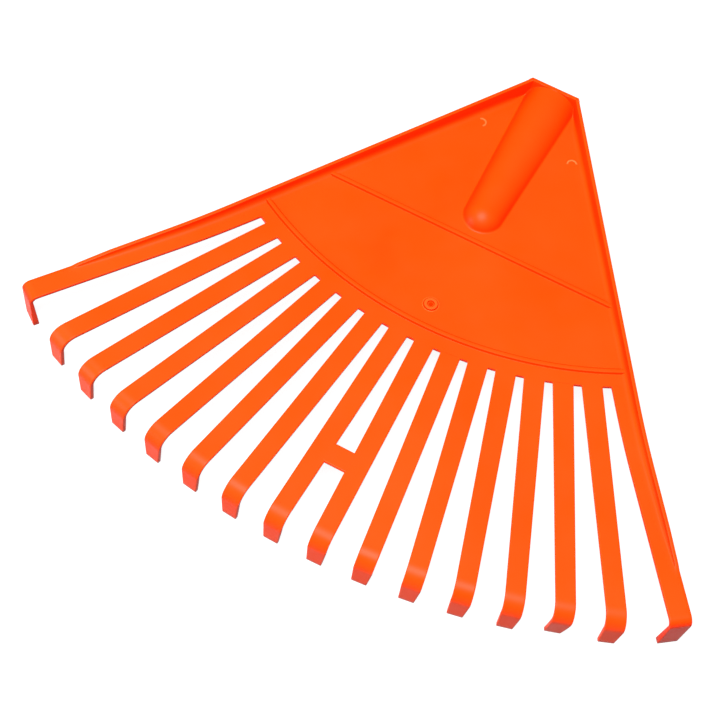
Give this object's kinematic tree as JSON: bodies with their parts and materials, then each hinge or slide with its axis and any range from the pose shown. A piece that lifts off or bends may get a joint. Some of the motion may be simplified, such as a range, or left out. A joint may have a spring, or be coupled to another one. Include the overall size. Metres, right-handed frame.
{
  "type": "leaf rake head",
  "caption": "Fan-shaped leaf rake head with hooked spring tines, upright edge flanges and a tapered tube that holds a round handle.",
  "frame": {"origin": "centre of the handle socket's mouth", "axes": "+Y out of the mouth along the handle, tines spread towards -Y, +Z on the side away from the ground, hooks point to -Z"},
  "size_m": [0.4082, 0.3309, 0.0372],
  "materials": {
    "orange_plastic": "satin moulded polypropylene, bright orange"
  },
  "bodies": {
    "head": {"fan_plate": "orange_plastic", "handle_socket": "orange_plastic", "side_flange_left": "orange_plastic", "side_flange_right": "orange_plastic", "mouth_web_left": "orange_plastic", "mouth_web_right": "orange_plastic", "cross_bead": "orange_plastic", "arc_bead": "orange_plastic", "gate_ring": "orange_plastic", "gate_pip": "orange_plastic", "tine_01": "orange_plastic", "tine_16": "orange_plastic"},
    "tine_02": {"tine_02": "orange_plastic"},
    "tine_03": {"tine_03": "orange_plastic"},
    "tine_04": {"tine_04": "orange_plastic"},
    "tine_05": {"tine_05": "orange_plastic"},
    "tine_06": {"tine_06": "orange_plastic"},
    "tine_07": {"tine_07": "orange_plastic"},
    "centre_tines": {"tine_08": "orange_plastic", "tine_09": "orange_plastic", "tine_bridge": "orange_plastic"},
    "tine_10": {"tine_10": "orange_plastic"},
    "tine_11": {"tine_11": "orange_plastic"},
    "tine_12": {"tine_12": "orange_plastic"},
    "tine_13": {"tine_13": "orange_plastic"},
    "tine_14": {"tine_14": "orange_plastic"},
    "tine_15": {"tine_15": "orange_plastic"}
  },
  "joints": [
    {"name": "tine_02_flex", "type": "hinge", "parent": "head", "child": "tine_02", "pos_m": [-0.10147, -0.17136, 0.0054], "axis": [-0.8982, 0.4395, 0], "range_deg": [-8, 15], "stiffness_Nm_per_rad": 0.25},
    {"name": "tine_03_flex", "type": "hinge", "parent": "head", "child": "tine_03", "pos_m": [-0.0866, -0.178, 0.0054], "axis": [-0.927, 0.3751, 0], "range_deg": [-8, 15], "stiffness_Nm_per_rad": 0.25},
    {"name": "tine_04_flex", "type": "hinge", "parent": "head", "child": "tine_04", "pos_m": [-0.07135, -0.18355, 0.0054], "axis": [-0.951, 0.3091, 0], "range_deg": [-8, 15], "stiffness_Nm_per_rad": 0.25},
    {"name": "tine_05_flex", "type": "hinge", "parent": "head", "child": "tine_05", "pos_m": [-0.05581, -0.18801, 0.0054], "axis": [-0.9703, 0.2417, 0], "range_deg": [-8, 15], "stiffness_Nm_per_rad": 0.25},
    {"name": "tine_06_flex", "type": "hinge", "parent": "head", "child": "tine_06", "pos_m": [-0.04003, -0.19136, 0.0054], "axis": [-0.9849, 0.1734, 0], "range_deg": [-8, 15], "stiffness_Nm_per_rad": 0.25},
    {"name": "tine_07_flex", "type": "hinge", "parent": "head", "child": "tine_07", "pos_m": [-0.02408, -0.1936, 0.0054], "axis": [-0.9945, 0.1043, 0], "range_deg": [-8, 15], "stiffness_Nm_per_rad": 0.25},
    {"name": "centre_tines_flex", "type": "hinge", "parent": "head", "child": "centre_tines", "pos_m": [0, -0.19444, 0.0054], "axis": [-1, 0, 0], "range_deg": [-8, 15], "stiffness_Nm_per_rad": 0.5},
    {"name": "tine_10_flex", "type": "hinge", "parent": "head", "child": "tine_10", "pos_m": [0.02408, -0.1936, 0.0054], "axis": [-0.9945, -0.1043, 0], "range_deg": [-8, 15], "stiffness_Nm_per_rad": 0.25},
    {"name": "tine_11_flex", "type": "hinge", "parent": "head", "child": "tine_11", "pos_m": [0.04003, -0.19136, 0.0054], "axis": [-0.9849, -0.1734, 0], "range_deg": [-8, 15], "stiffness_Nm_per_rad": 0.25},
    {"name": "tine_12_flex", "type": "hinge", "parent": "head", "child": "tine_12", "pos_m": [0.05581, -0.18801, 0.0054], "axis": [-0.9703, -0.2417, 0], "range_deg": [-8, 15], "stiffness_Nm_per_rad": 0.25},
    {"name": "tine_13_flex", "type": "hinge", "parent": "head", "child": "tine_13", "pos_m": [0.07135, -0.18355, 0.0054], "axis": [-0.951, -0.3091, 0], "range_deg": [-8, 15], "stiffness_Nm_per_rad": 0.25},
    {"name": "tine_14_flex", "type": "hinge", "parent": "head", "child": "tine_14", "pos_m": [0.0866, -0.178, 0.0054], "axis": [-0.927, -0.3751, 0], "range_deg": [-8, 15], "stiffness_Nm_per_rad": 0.25},
    {"name": "tine_15_flex", "type": "hinge", "parent": "head", "child": "tine_15", "pos_m": [0.10147, -0.17136, 0.0054], "axis": [-0.8982, -0.4395, 0], "range_deg": [-8, 15], "stiffness_Nm_per_rad": 0.25}
  ]
}
